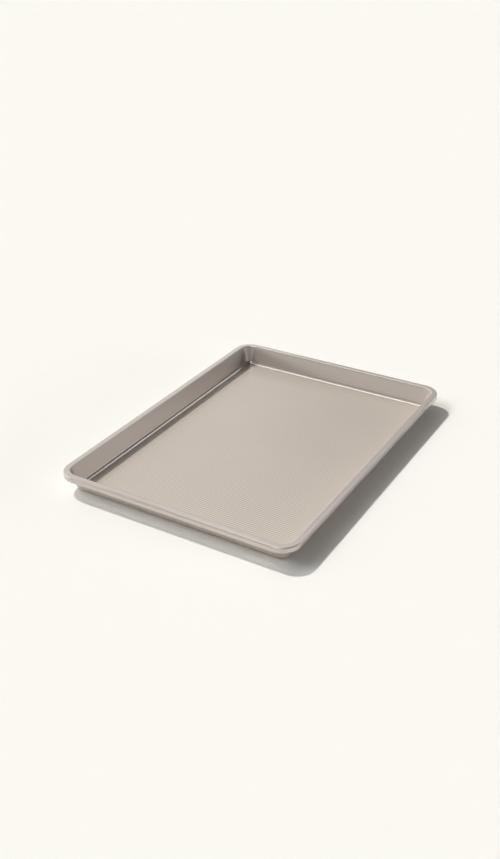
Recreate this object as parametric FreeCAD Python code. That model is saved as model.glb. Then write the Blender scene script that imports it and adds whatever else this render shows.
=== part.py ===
import FreeCAD, Part
import math
import os

# A half-sheet jelly roll pan: one pressed steel sheet whose rim is rolled square round a steel wire.
# Millimetres. X is the short side, Y the long side, Z up. The origin is the centre of the underside.

# Outline of the pan, measured over the rim, and its height above the table.
pan_width = 330.2
pan_length = 457.2
pan_height = 26.8
corner_radius = 25.0

# The sheet, and how the wall stands on the floor.
sheet_thickness = 0.75
wall_flare_degrees = 16.0
floor_fillet_radius = 5.0

# The rolled rim, and the wire that the roll holds.
rim_width = 8.6
rim_height = 8.2
rim_bend_radius = 2.0
seam_gap = 0.4
wire_diameter = 4.8
wire_clearance = 0.3
wire_joint_gap = 0.6

rim_bottom = pan_height - rim_height

wall_flare = math.radians(wall_flare_degrees)
quarter_turn_degrees = 90
up = FreeCAD.Vector(0, 0, 1)


def wall_inset(height):
    """How far the wall's coated face stands in from the pan's outer edge at a height above the table."""
    return rim_width + (pan_height - height) * math.tan(wall_flare)


def section_point(inset, height):
    """A point of a side's section. The Z axis of the section is the axis that the corners turn about."""
    return FreeCAD.Vector(corner_radius - inset, 0, height)


def rounded_path(points, radii):
    """An open wire along straight runs, with the corner at each inner point rounded to its own radius."""
    edges = []
    start = points[0]
    for before, corner, after, radius in zip(points, points[1:], points[2:], radii):
        back = (before - corner).normalize()
        onward = (after - corner).normalize()
        middle = (back + onward).normalize()
        half_angle = back.getAngle(onward) / 2
        run = radius / math.tan(half_angle)
        bulge = radius / math.sin(half_angle) - radius
        bend_start = corner + back * run
        bend_end = corner + onward * run
        edges.append(Part.LineSegment(start, bend_start).toShape())
        edges.append(Part.Arc(bend_start, corner + middle * bulge, bend_end).toShape())
        start = bend_end
    edges.append(Part.LineSegment(start, points[-1]).toShape())
    return edges


def sheet_path(depth):
    """One face of the sheet, from a corner's axis up the wall and round the roll to its lip.

    A depth of zero is the coated face, and a depth of the sheet's thickness is the bare one.
    """
    slant = depth / math.cos(wall_flare)
    floor_level = sheet_thickness - depth
    rim_level = pan_height - depth
    return_level = rim_bottom + depth
    lip_level = rim_bottom + sheet_thickness
    lip_inset = wall_inset(lip_level) - sheet_thickness / math.cos(wall_flare) - seam_gap
    points = [
        section_point(corner_radius, floor_level),
        section_point(wall_inset(floor_level) - slant, floor_level),
        section_point(wall_inset(rim_level) - slant, rim_level),
        section_point(depth, rim_level),
        section_point(depth, return_level),
        section_point(lip_inset, return_level),
    ]
    bend = rim_bend_radius - depth
    return rounded_path(points, [floor_fillet_radius + depth, bend, bend, bend])


def side_section():
    """The sheet cut across one side: floor, fillet, flared wall and square roll, of one thickness."""
    coated = sheet_path(0)
    bare = sheet_path(sheet_thickness)
    floor_end = Part.LineSegment(coated[0].Vertexes[0].Point, bare[0].Vertexes[0].Point).toShape()
    lip_end = Part.LineSegment(coated[-1].Vertexes[-1].Point, bare[-1].Vertexes[-1].Point).toShape()
    outline = Part.__sortEdges__(coated + bare + [floor_end, lip_end])
    return Part.Face(Part.Wire(outline))


def wire_section():
    """The wire cut across one side. It lies on the roll's return, beside the roll's outer face."""
    offset = sheet_thickness + wire_clearance + wire_diameter / 2
    centre = section_point(offset, rim_bottom + offset)
    circle = Part.makeCircle(wire_diameter / 2, centre, FreeCAD.Vector(0, 1, 0))
    return Part.Face(Part.Wire(circle))


def corner_axes():
    """Where the four corners' upright axes stand, in order round the pan from the front of the +X side."""
    x = pan_width / 2 - corner_radius
    y = pan_length / 2 - corner_radius
    return [FreeCAD.Vector(x, -y, 0), FreeCAD.Vector(x, y, 0), FreeCAD.Vector(-x, y, 0), FreeCAD.Vector(-x, -y, 0)]


def carried_round(section):
    """The section pushed along each side, and turned a quarter about the axis of the corner at its end."""
    pieces = []
    axes = corner_axes()
    for side, (side_start, side_end) in enumerate(zip(axes, axes[1:] + axes[:1])):
        at_start = section.copy()
        at_start.rotate(FreeCAD.Vector(0, 0, 0), up, quarter_turn_degrees * side)
        at_start.translate(side_start)
        at_end = at_start.copy()
        at_end.translate(side_end - side_start)
        pieces.append(at_start.extrude(side_end - side_start))
        pieces.append(at_end.revolve(side_end, up, quarter_turn_degrees))
    return pieces


def fused(pieces):
    """One solid from pieces that meet face to face, without seams on its flat faces."""
    return pieces[0].multiFuse(pieces[1:]).removeSplitter().Solids[0]


def pan_shell():
    """The pressed sheet: a flat floor between the corner axes, and the side's section carried round it."""
    first = corner_axes()[3]
    last = corner_axes()[1]
    floor = Part.makeBox(last.x - first.x, last.y - first.y, sheet_thickness, first)
    return fused(carried_round(side_section()) + [floor])


def rim_wire():
    """The wire inside the roll: one length bent to the pan's outline, its ends butted on the -X side."""
    loop = fused(carried_round(wire_section()))
    cut_corner = FreeCAD.Vector(-pan_width / 2, -wire_joint_gap / 2, 0)
    joint = Part.makeBox(rim_width, wire_joint_gap, pan_height, cut_corner)
    return loop.cut(joint).Solids[0]


nodes = {"pan_shell": pan_shell(), "rim_wire": rim_wire()}
os.makedirs("parts", exist_ok=True)
for name, solid in nodes.items():
    solid.exportStep(os.path.join("parts", name + ".step"))
    box = solid.optimalBoundingBox(False, False)
    print(name, "valid", solid.isValid(), "volume", round(solid.Volume), "height from", box.ZMin, "to", box.ZMax)
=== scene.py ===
# %% [markdown]
# # A jelly roll pan, dressed for its portrait
#
# The object is a half-sheet jelly roll pan: one pressed steel sheet with a champagne non-stick coat, a fine
# raised texture on its floor, and an edge that is rolled square round a steel wire. The solids come from CAD
# and are loaded here as a fixed frame in metres, with X across the pan, Y along it and Z up. Whatever we
# model has to lie exactly where they are, so we keep their box and print it, and print the dressed box at the
# end.

# %% Load the frame
import math

import bpy
from mathutils import Matrix, Vector


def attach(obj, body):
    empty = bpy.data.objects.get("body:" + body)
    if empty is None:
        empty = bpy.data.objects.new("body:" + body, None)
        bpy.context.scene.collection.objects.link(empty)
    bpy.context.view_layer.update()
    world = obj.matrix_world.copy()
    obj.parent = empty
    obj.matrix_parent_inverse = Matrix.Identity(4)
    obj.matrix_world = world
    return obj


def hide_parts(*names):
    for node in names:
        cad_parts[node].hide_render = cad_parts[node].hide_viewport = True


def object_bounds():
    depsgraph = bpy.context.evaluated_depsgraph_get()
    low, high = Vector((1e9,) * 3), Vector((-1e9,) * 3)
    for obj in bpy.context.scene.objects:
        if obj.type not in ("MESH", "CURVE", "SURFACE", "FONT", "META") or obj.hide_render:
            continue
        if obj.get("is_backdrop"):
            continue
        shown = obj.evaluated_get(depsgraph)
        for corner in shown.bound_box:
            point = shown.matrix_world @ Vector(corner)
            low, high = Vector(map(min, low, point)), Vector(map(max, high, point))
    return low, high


MM = 0.001


def in_mm(lengths, digits=2):
    """Lengths in metres as millimetres, rounded for printing."""
    return [round(length / MM, digits) for length in lengths]


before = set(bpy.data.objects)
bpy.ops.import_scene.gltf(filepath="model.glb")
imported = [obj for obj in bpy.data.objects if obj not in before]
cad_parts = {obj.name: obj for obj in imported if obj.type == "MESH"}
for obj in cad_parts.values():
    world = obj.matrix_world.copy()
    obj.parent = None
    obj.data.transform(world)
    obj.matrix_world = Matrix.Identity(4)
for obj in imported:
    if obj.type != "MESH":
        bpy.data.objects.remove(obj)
cad_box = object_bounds()
print("CAD nodes:", sorted(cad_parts))
print("CAD box in mm:", [in_mm(corner) for corner in cad_box])

# %% [markdown]
# ## The camera
#
# A product photograph is taken from a little over one corner, with a lens that is neither wide nor long. We
# could look for the view by trial, but straight edges of known size give it: the outline of the pan fixes the
# direction, the distance and the lens. The camera is written as a direction (azimuth and elevation), a
# distance from the pan's centre, and a small step sideways and up that sets the framing, so no lens shift is
# needed.

# %% Set up the camera
azimuth = math.radians(30.477)
elevation = math.radians(29.170)
roll = math.radians(-0.107)
distance = 1319.0 * MM
step_right = -17.75 * MM
step_up = 20.81 * MM
lens = 41.064
sensor = 36.0

back = Vector((
    math.sin(azimuth) * math.cos(elevation),
    -math.cos(azimuth) * math.cos(elevation),
    math.sin(elevation),
))
level_right = (-back).cross(Vector((0, 0, 1))).normalized()
level_up = level_right.cross(-back)
right = level_right * math.cos(roll) + level_up * math.sin(roll)
up = level_up * math.cos(roll) - level_right * math.sin(roll)

camera_data = bpy.data.cameras.new("portrait")
camera_data.lens = lens
camera_data.sensor_width = sensor
camera = bpy.data.objects.new("portrait", camera_data)
bpy.context.scene.collection.objects.link(camera)
stand = Matrix.Translation(back * distance + right * step_right + up * step_up)
camera.matrix_world = stand @ Matrix((right, up, back)).transposed().to_4x4()
bpy.context.scene.camera = camera
bpy.context.scene.view_settings.view_transform = "Standard"
print("camera stands at, in mm:", in_mm(camera.matrix_world.translation, 0))

# %% [markdown]
# ## Sums with sockets
#
# A shader is a graph of nodes, and building one link at a time is slow to read. One small class wraps an
# output socket: an ordinary sum on two of them adds the Math node, and one method adds any other node, given
# its type, its settings and what goes into its sockets. Colours and vectors don't go through sums, because a
# Math node turns a colour grey. They go through Mix and Vector Math nodes by that same method.

# %% Wrap a socket
class Sock:
    """An output socket of a shader graph, or only the graph where no socket is given yet."""

    def __init__(self, tree, socket=None):
        self.tree = tree
        self.socket = socket

    def node(self, kind, settings=None, sockets=None, output=0):
        """Adds a node, sets its settings and fills its sockets with values or links. Returns one output."""
        made = self.tree.nodes.new("ShaderNode" + kind)
        for name, value in (settings or {}).items():
            setattr(made, name, value)
        for name, value in (sockets or {}).items():
            if isinstance(value, Sock):
                self.tree.links.new(value.socket, made.inputs[name])
            else:
                made.inputs[name].default_value = value
        return Sock(self.tree, made.outputs[output] if made.outputs else None)

    def math(self, operation, first, second=0.0):
        """Adds a Math node. Some operations leave the second value unused."""
        return self.node("Math", {"operation": operation}, {0: first, 1: second})

    def __add__(self, other):
        return self.math("ADD", self, other)

    def __radd__(self, other):
        return self.math("ADD", other, self)

    def __sub__(self, other):
        return self.math("SUBTRACT", self, other)

    def __rsub__(self, other):
        return self.math("SUBTRACT", other, self)

    def __mul__(self, other):
        return self.math("MULTIPLY", self, other)

    def __rmul__(self, other):
        return self.math("MULTIPLY", other, self)


def fresh_tree(owner):
    """An empty shader graph on a material or a world."""
    owner.use_nodes = True
    owner.node_tree.nodes.clear()
    return Sock(owner.node_tree)


print("sums on sockets are ready")

# %% [markdown]
# ## The lamps
#
# In the photograph one hard lamp stands high on the left and a little behind the pan: it throws a crisp
# shadow to the right and a narrow one to the front. A sun lamp suits this: its light is parallel, so a large
# table is lit evenly, and the angle of its disc sets how soft the shadow's edge is. The front shadow is pale
# and the right one deep, so a second hard lamp stands at the same height on the left, a little in front of
# the pan. Wide suns fill the rest.
#
# Light on a coat does two jobs: it lights the matte side of the coat, and it shows as a gleam in its gloss. A
# photographer splits the two with a polarising sheet on each lamp, which takes the lamps' own glare off the
# metal. Here the lamps are hidden from glossy rays instead.

# %% Hang the lamps
def toward_sky(around, above):
    """The direction of a point of the sky, by degrees round from the right and degrees above the table."""
    around = math.radians(around)
    above = math.radians(above)
    level = math.cos(above)
    return Vector((level * math.cos(around), level * math.sin(around), math.sin(above)))


def hang_sun(name, around, above, width, strength, colour):
    """Hangs a sun lamp where it stands as seen from the pan, with the width of its disc in degrees."""
    data = bpy.data.lights.new(name, "SUN")
    data.energy = strength
    data.angle = math.radians(width)
    data.color = colour
    sun = bpy.data.objects.new(name, data)
    bpy.context.scene.collection.objects.link(sun)
    sun.rotation_euler = toward_sky(around, above).to_track_quat("Z", "Y").to_euler()
    print(name, "stands", around, "degrees round and", above, "up,", width, "degrees wide")
    return sun


warm = (1.0, 0.983, 0.93)
neutral = (0.985, 0.985, 0.985)
# Each row: name, degrees round, degrees up, degrees wide, strength, colour.
lamps = [
    ("key", 166.5, 48.8, 2, 2.15, warm),
    ("second_key", 198.2, 48.2, 3, 0.44, neutral),
    ("soft_left", 194, 30, 50, 0.60, neutral),
    ("soft_front_left", 225, 40, 24, 0.78, neutral),
    ("soft_front", 275, 50, 34, 0.27, neutral),
    ("soft_back", 125, 45, 40, 0.46, neutral),
    ("soft_front_low", 262, 7, 10, 0.12, neutral),
    ("soft_right_low", 18, 7, 10, 0.92, neutral),
]
for lamp in lamps:
    hang_sun(*lamp).visible_glossy = False

# %% [markdown]
# ## The cards
#
# What the gloss does show is the pale cards that stand round the table, and each is placed by where the pan
# mirrors it. The rim's flat tops mirror the low card behind on the left, and the right-hand rim just misses
# it and stays darker. The fillet at the left wall's foot mirrors the card high at the back, and the fillet at
# the back wall's foot the bright one above on the left. A card is a wide sun too, hidden from diffuse rays,
# so it leaves the shadows alone.

# %% Stand the cards
# Each row: name, degrees round, degrees up, degrees wide, strength.
cards = [
    ("card_front", 275, 50, 34, 0.68),
    ("card_left", 194, 30, 50, 0.90),
    ("card_top_left", 155, 66.5, 18, 0.29),
    ("card_top_back", 112, 53, 34, 0.22),
    ("card_back_left", 136, 26, 34, 0.17),
    ("card_back", 112, 16, 34, 0.04),
    ("card_back_top", 93, 41, 20, 0.136),
    ("card_back_right", 42, 8, 34, 0.26),
]
for card in cards:
    hang_sun(*card, neutral).visible_diffuse = False

# %% [markdown]
# ## The room
#
# From a low angle the table ends at the horizon. A real studio has a pale wall there, and the pan's walls
# mirror it. The world is that wall. The camera sees it pale at every height, and a mirrored ray sees it pale
# near the horizon. Every other ray finds it dim, so it adds no light of its own and the shadows stay as deep
# as the lamps leave them. The Light Path node tells which ray is asking.

# %% Paint the room
wall_foot = math.sin(math.radians(2.3))
wall_top = math.sin(math.radians(11.5))
dim_light = {"Color": (1.0, 0.985, 0.96, 1), "Strength": 0.01}
pale_light = {"Color": (0.965, 0.939, 0.871, 1), "Strength": 1.0}

world = bpy.data.worlds.new("room")
bpy.context.scene.world = world
room = fresh_tree(world)
direction = room.node("TexCoord", output="Generated")
rise = room.node("SeparateXYZ", {}, {0: direction}, output="Z")
near_horizon = room.node(
    "MapRange",
    {"interpolation_type": "SMOOTHSTEP"},
    {"Value": rise, "From Min": wall_foot, "From Max": wall_top, "To Min": 1.0, "To Max": 0.0},
)
camera_ray = room.node("LightPath", output="Is Camera Ray")
glossy_ray = room.node("LightPath", output="Is Glossy Ray")
through_ray = room.node("LightPath", output="Is Transmission Ray")
mirrored_wall = near_horizon * room.math("MAXIMUM", glossy_ray, through_ray)
sees_wall = room.math("MAXIMUM", camera_ray, mirrored_wall)
dim = room.node("Background", {}, dim_light)
pale = room.node("Background", {}, pale_light)
painted = room.node("MixShader", {}, {0: sees_wall, 1: dim, 2: pale})
room.node("OutputWorld", {}, {"Surface": painted})
print("the mirrored wall is pale for a rise of", *in_mm([wall_foot], 0), "mm in a metre of sight,")
print("and dim from", *in_mm([wall_top], 0), "mm")

# %% [markdown]
# ## The table
#
# The pan stands on a plain off-white sweep of paper. A very large plane keeps its far edge above the picture,
# and its colour does all the work of the background. Paper isn't perfectly even, so its tone moves by a hair.
# The noise for that runs on Object coordinates, which stay with the piece, and the finishes below use the
# same helpers.

# %% Lay the paper
def object_place(graph):
    """Object coordinates, which stay with the piece."""
    return graph.node("TexCoord", output="Object")


def noise(graph, scale, detail):
    """A cloudy share from 0 to 1 on Object coordinates. A larger scale makes smaller clouds."""
    return graph.node("TexNoise", {}, {"Vector": object_place(graph), "Scale": scale, "Detail": detail})


def mixed_colour(graph, share, first, second):
    """A colour between two, by a share from 0 to 1. A Mix node's colour sockets go by number."""
    return graph.node(
        "Mix", {"data_type": "RGBA"}, {0: share, 6: (*first, 1), 7: (*second, 1)}, output=2
    )


def end_graph(graph, shader):
    """Makes a shader the surface of a material."""
    graph.node("OutputMaterial", {}, {"Surface": shader})


table_size = 60.0
fibre_scale = 30.0
fibre_detail = 3.0
paper_dark = (0.887, 0.875, 0.842)
paper_light = (0.897, 0.885, 0.852)

bpy.ops.mesh.primitive_plane_add(size=table_size, location=(0, 0, 0))
table = bpy.context.active_object
table.name = "table"
paper = bpy.data.materials.new("paper")
graph = fresh_tree(paper)
fibre = noise(graph, fibre_scale, fibre_detail)
paper_colour = mixed_colour(graph, fibre, paper_dark, paper_light)
end_graph(graph, graph.node("BsdfDiffuse", {}, {"Color": paper_colour}))
table.data.materials.append(paper)
table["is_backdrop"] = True
print("paper laid,", table.dimensions.x, "m wide")

# %% [markdown]
# ## The pressed field
#
# The floor is pressed in fine rows of little pads, and the finish looks different there, so it has to know
# where that field lies. The field could have a material of its own, but the coat is one film over the whole
# pan. So we make two shares for it instead: a mask that is 1 on the field, and the depth in the furrows
# between the pads, which sets the painted shade in the coat's colour there. Two cosines give the depth, one
# along the pan and one across, and it changes mostly from row to row.

# %% Measure the pressed field
row_pitch = 3.51 * MM
rows = 117
pad_pitch = 2.2 * MM
pads_in_row = 129
field_width = pads_in_row * pad_pitch
field_length = rows * row_pitch
floor_level = 0.75 * MM
floor_reach = 0.25 * MM
row_share = 0.35
pad_share = 0.15


def within(graph, coordinate, middle, reach):
    """1 where a coordinate lies no further than a reach from a middle, and 0 elsewhere."""
    return graph.math("LESS_THAN", graph.math("ABSOLUTE", coordinate - middle), reach)


def pressed_field(graph):
    """Two shares: 1 on the pressed field and 0 elsewhere, and the furrow depth that sets painted shade there.
    """
    place = object_place(graph)
    across, along, level = [graph.node("SeparateXYZ", {}, {0: place}, output=axis) for axis in "XYZ"]
    inside = within(graph, across, 0.0, field_width / 2) * within(graph, along, 0.0, field_length / 2)
    pressed = inside * within(graph, level, floor_level, floor_reach)
    row_wave = graph.math("COSINE", along * (2 * math.pi / row_pitch))
    pad_wave = graph.math("COSINE", across * (2 * math.pi / pad_pitch))
    # This depth darkens the coat's colour between the pads below: painted shade.
    furrow_shade = pressed * (row_share * (1 - row_wave) + pad_share * (1 - pad_wave))
    return pressed, furrow_shade


print("pressed field:", rows, "rows", *in_mm([row_pitch]), "mm apart, of", pads_in_row, "pads each")

# %% [markdown]
# ## The coat
#
# The finish is a champagne non-stick coat: fine metal flake in a warm, satin binder. It behaves partly like
# metal and partly like paint. A metallic share between the two gives that, with a roughness low enough for
# the bends to catch the light. The coat is sprayed, so its tone drifts a little over a hand's width, and the
# flake sparkles at less than a millimetre. On the pressed field the tiny relief scatters light, so there the
# coat is rougher and less like metal. Its colour there is painted lighter and a touch warmer for the light
# the pads catch, and painted darker in the furrows for the shade between them.

# %% Mix the coat
drift_scale = 11.0
flake_scale = 1500.0
cloud_detail = 2.0
drift_share = 0.5
coat_dark = (0.606, 0.548, 0.511)
coat_light = (0.669, 0.607, 0.564)
# Painted light: this tint makes the pressed field's colour lighter and warmer, for the light its pads catch.
pad_light_tint = (1.14, 1.118, 1.065)
# Painted shade: the colour is darkened this far in the furrows between the pads.
furrow_shade_tint = (0.56, 0.56, 0.56)
coat_metal = 0.4
field_metal = 0.2
coat_roughness = 0.13
drift_roughness = 0.04
flake_roughness = 0.02
field_roughness = 0.1
grain_strength = 0.03
grain_depth = 0.2 * MM


def tinted_colour(graph, share, colour, tint):
    """A colour multiplied by a tint, by a share from 0 to 1."""
    settings = {"data_type": "RGBA", "blend_type": "MULTIPLY"}
    return graph.node("Mix", settings, {0: share, 6: colour, 7: (*tint, 1)}, output=2)


champagne = bpy.data.materials.new("champagne_coat")
graph = fresh_tree(champagne)
drift = noise(graph, drift_scale, cloud_detail)
flake = noise(graph, flake_scale, cloud_detail)
pressed, furrow_shade = pressed_field(graph)
sprayed = drift_share * drift + (1 - drift_share) * flake
plain_colour = mixed_colour(graph, sprayed, coat_dark, coat_light)
# Painted light: the pressed field's colour made lighter and warmer.
lightened_field_colour = tinted_colour(graph, pressed, plain_colour, pad_light_tint)
added_roughness = drift_roughness * drift + flake_roughness * flake + field_roughness * pressed
grain = {"Strength": grain_strength, "Distance": grain_depth, "Height": flake}
coat = {
    # Painted shade: the colour darker in the furrows between the pads.
    "Base Color": tinted_colour(graph, furrow_shade, lightened_field_colour, furrow_shade_tint),
    "Metallic": coat_metal - (coat_metal - field_metal) * pressed,
    "Roughness": coat_roughness + added_roughness,
    "Normal": graph.node("Bump", {}, grain),
}
end_graph(graph, graph.node("BsdfPrincipled", {}, coat))
print("coat mixed:", champagne.name, "with", len(graph.tree.nodes), "nodes")

# %% [markdown]
# ## The wire's zinc
#
# The rolled rim is closed on a steel wire, which shows only through the narrow seam under the rim. Such wire
# is galvanised: zinc freezes in faint leafy patches of slightly different grey and shine. A Voronoi pattern
# gives the patches. The wire's shape in the frame is right as it is, so it stays and only gets this finish.

# %% Dip the wire in zinc
leaf_scale = 420.0
dust_scale = 900.0
dust_detail = 3.0
leaf_share = 0.6
zinc_dark = (0.36, 0.37, 0.38)
zinc_light = (0.56, 0.57, 0.58)
zinc_roughness = 0.32
leaf_roughness = 0.2

zinc = bpy.data.materials.new("zinc_dip")
graph = fresh_tree(zinc)
leafy = {"Vector": object_place(graph), "Scale": leaf_scale}
leaf = graph.node("TexVoronoi", {}, leafy, output="Distance")
dust = noise(graph, dust_scale, dust_detail)
dip = {
    "Base Color": mixed_colour(graph, leaf_share * leaf + (1 - leaf_share) * dust, zinc_dark, zinc_light),
    "Metallic": 1.0,
    "Roughness": zinc_roughness + leaf_roughness * leaf,
}
end_graph(graph, graph.node("BsdfPrincipled", {}, dip))
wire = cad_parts["rim_wire"]
wire.data.materials.clear()
wire.data.materials.append(zinc)
print("wire dipped:", wire.name)

# %% [markdown]
# ## The sheet: its outline
#
# The pan is one sheet, so it is modelled as one surface and thickened last. It could be lofted from sections,
# but by hand the quickest start is the outline: a plane of the pan's size at the level of the roll's
# underside, whose four corners are rounded by a vertex bevel. Every later line round the pan is this outline
# moved inwards.

# %% Cut the outline
pan_width = 330.2 * MM
pan_length = 457.2 * MM
pan_height = 26.8 * MM
corner_radius = 25.0 * MM
rim_height = 8.2 * MM
rim_bottom = pan_height - rim_height
corner_steps = 24
round_profile = 0.5

bpy.ops.object.select_all(action="DESELECT")
bpy.ops.mesh.primitive_plane_add(size=1.0, location=(0, 0, 0))
pan = bpy.context.active_object
pan.name = "coated_sheet"
bpy.ops.object.mode_set(mode="EDIT")
bpy.ops.transform.resize(value=(pan_width, pan_length, 1.0))
bpy.ops.transform.translate(value=(0, 0, rim_bottom))
bpy.ops.mesh.bevel(offset=corner_radius, segments=corner_steps, profile=round_profile, affect="VERTICES")
bpy.ops.object.mode_set(mode="OBJECT")
print("outline has", len(pan.data.vertices), "points")

# %% [markdown]
# ## The sheet: the roll
#
# At the factory the edge is rolled outwards, down and back in, round the wire. By hand it is an extrude and
# an inset. Pulling the outline up by the roll's height gives its outer face. Extruding a lone face also
# leaves one below, and insetting that and deleting the middle leaves the narrow return that ends in the lip.

# %% Raise the roll
def select_faces(piece, wanted):
    """Selects the faces that a test wants, and nothing else, and leaves edit mode on."""
    bpy.ops.object.mode_set(mode="EDIT")
    bpy.ops.mesh.select_mode(type="FACE")
    bpy.ops.mesh.select_all(action="DESELECT")
    bpy.ops.object.mode_set(mode="OBJECT")
    for face in piece.data.polygons:
        face.select = wanted(face)
    bpy.ops.object.mode_set(mode="EDIT")


rim_width = 8.6 * MM
sheet_thickness = 0.75 * MM
seam_gap = 0.4 * MM
wall_flare = math.radians(16.0)
lip_level = rim_bottom + sheet_thickness
wall_at_lip = rim_width + (pan_height - lip_level) * math.tan(wall_flare)
lip_inset = wall_at_lip - sheet_thickness / math.cos(wall_flare) - seam_gap
level_enough = 0.99

select_faces(pan, lambda face: True)
bpy.ops.mesh.extrude_region_move(TRANSFORM_OT_translate={"value": (0, 0, rim_height)})
select_faces(pan, lambda face: face.normal.z < -level_enough)
bpy.ops.mesh.inset(thickness=lip_inset, depth=0.0)
bpy.ops.mesh.delete(type="FACE")
print("roll's height and its lip's inset in mm:", in_mm([rim_height, lip_inset]))

# %% [markdown]
# ## The sheet: rim, wall and floor
#
# An inset moves the outline inwards by the same amount everywhere, so round corners stay concentric. One
# inset of the top face leaves the flat rim. A second with a depth carries the face down to the floor and
# leaves the flared wall behind it, with corners that tighten towards the floor as they do in a drawn pan.

# %% Draw the wall down to the floor
draw_depth = pan_height - sheet_thickness
wall_run = draw_depth * math.tan(wall_flare)
select_faces(pan, lambda face: face.normal.z > level_enough)
bpy.ops.mesh.inset(thickness=rim_width, depth=0.0)
bpy.ops.mesh.inset(thickness=wall_run, depth=-draw_depth)
print("wall's lean and its draw in mm:", in_mm([wall_run, draw_depth]))

# %% [markdown]
# ## The sheet: its bends
#
# Steel doesn't fold to a knife edge. The wall meets the floor in a 5 mm fillet, and the three corners of the
# roll are bent at 2 mm. Each is an edge loop, which we find by how far in from the outline it lies and how
# high, and a bevel rounds it. A bevel's offset is measured along the faces, so it is the radius times the
# tangent of half the turn.

# %% Round the bends
near = 0.02 * MM


def inset_of(point):
    """How far a point stands in from the pan's outer edge, seen from above."""
    across = abs(point.x) - (pan_width / 2 - corner_radius)
    along = abs(point.y) - (pan_length / 2 - corner_radius)
    reach = math.hypot(max(across, 0), max(along, 0)) + min(max(across, along), 0)
    return corner_radius - reach


def select_loop(piece, inset, height):
    """Selects the edges that lie at an inset and a height, and leaves edit mode on."""
    bpy.ops.mesh.select_mode(type="EDGE")
    bpy.ops.mesh.select_all(action="DESELECT")
    bpy.ops.object.mode_set(mode="OBJECT")
    points = [point.co for point in piece.data.vertices]
    on_loop = [abs(inset_of(co) - inset) < near and abs(co.z - height) < near for co in points]
    for edge in piece.data.edges:
        edge.select = all(on_loop[end] for end in edge.vertices)
    bpy.ops.object.mode_set(mode="EDIT")


floor_fillet = 5.0 * MM
rim_bend = 2.0 * MM
bend_steps = 8
square_turn = math.radians(90)
wall_turn = square_turn - wall_flare
# Each row: name, inset, height, radius, turn.
bends = [
    ("floor fillet", rim_width + wall_run, sheet_thickness, floor_fillet, wall_turn),
    ("rim's inner bend", rim_width, pan_height, rim_bend, wall_turn),
    ("rim's outer bend", 0.0, pan_height, rim_bend, square_turn),
    ("roll's lower bend", 0.0, rim_bottom, rim_bend, square_turn),
]
for name, inset, height, radius, turn in bends:
    select_loop(pan, inset, height)
    bpy.ops.mesh.bevel(
        offset=radius * math.tan(turn / 2),
        segments=bend_steps,
        profile=round_profile,
        affect="EDGES",
        clamp_overlap=False,
    )
    print(name, "rounded to", *in_mm([radius]), "mm")

# %% [markdown]
# ## The sheet: its thickness
#
# So far the surface is the coated face alone. The sheet is 22 gauge, 0.75 mm thick. A Solidify modifier adds
# the other face behind it, at an even thickness round every bend, and closes the lip.

# %% Give the sheet its gauge
bpy.ops.object.mode_set(mode="OBJECT")
gauge = pan.modifiers.new("gauge", "SOLIDIFY")
gauge.thickness = sheet_thickness
gauge.offset = -1.0
gauge.use_even_offset = True
bpy.ops.object.modifier_apply(modifier=gauge.name)
print("sheet has", len(pan.data.polygons), "faces and measures in mm:", in_mm(pan.dimensions))

# %% [markdown]
# ## The floor's raised texture
#
# The floor carries a fine pressed texture that lets air under the bake: rows 3.5 mm apart, of little pads too
# fine for the photograph to show one by one. It could be a bump in the material, but real relief catches the
# light properly from any side. The flat floor face gives way to a grid with one face for each pad. An inset
# on every face at once, with a height, raises them all, and a bridge joins the grid to the plain margin by
# the fillet.

# %% Press the texture
pad_slope = 0.6 * MM
pad_height = 0.07 * MM


def is_floor(face):
    """True for the one flat face on the floor's upper side."""
    return face.normal.z > level_enough and abs(face.center.z - sheet_thickness) < near


select_faces(pan, is_floor)
bpy.ops.mesh.delete(type="ONLY_FACE")
bpy.ops.mesh.select_all(action="DESELECT")
bpy.ops.mesh.primitive_grid_add(
    x_subdivisions=pads_in_row, y_subdivisions=rows, size=1.0, location=(0, 0, 0)
)
bpy.ops.transform.resize(value=(field_width, field_length, 1.0))
bpy.ops.transform.translate(value=(0, 0, sheet_thickness))
bpy.ops.mesh.inset(thickness=pad_slope, depth=pad_height, use_individual=True)
bpy.ops.mesh.select_mode(type="EDGE")
bpy.ops.mesh.select_all(action="DESELECT")
bpy.ops.mesh.select_non_manifold(
    use_wire=False, use_multi_face=False, use_non_contiguous=False, use_verts=False
)
bpy.ops.mesh.bridge_edge_loops()
bpy.ops.object.mode_set(mode="OBJECT")
print(pads_in_row * rows, "pads raised by", *in_mm([pad_height]), "mm")

# %% [markdown]
# ## The sheet: its shading
#
# Flat shading would show every strip of the bends. Smooth shading rounds them, and a Weighted Normal modifier
# lets the large flat faces decide the normals at their edges, so that the rim and walls stay flat right up to
# where they bend.

# %% Smooth the sheet and coat it
smooth_angle = math.radians(15)

bpy.ops.object.shade_smooth_by_angle(angle=smooth_angle)
flats = pan.modifiers.new("flats", "WEIGHTED_NORMAL")
flats.keep_sharp = True
bpy.ops.object.modifier_apply(modifier=flats.name)
pan.data.materials.append(champagne)
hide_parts("pan_shell")
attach(pan, "root")
print("coated sheet:", sum(len(face.vertices) - 2 for face in pan.data.polygons), "triangles")

# %% [markdown]
# ## The dressed box
#
# The dressed pan must not be larger or smaller than the solids it stands for, so its box is printed to
# set against the CAD box printed at the start.

# %% Measure and finish
dressed_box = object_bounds()
print("dressed box in mm:", [in_mm(corner) for corner in dressed_box])
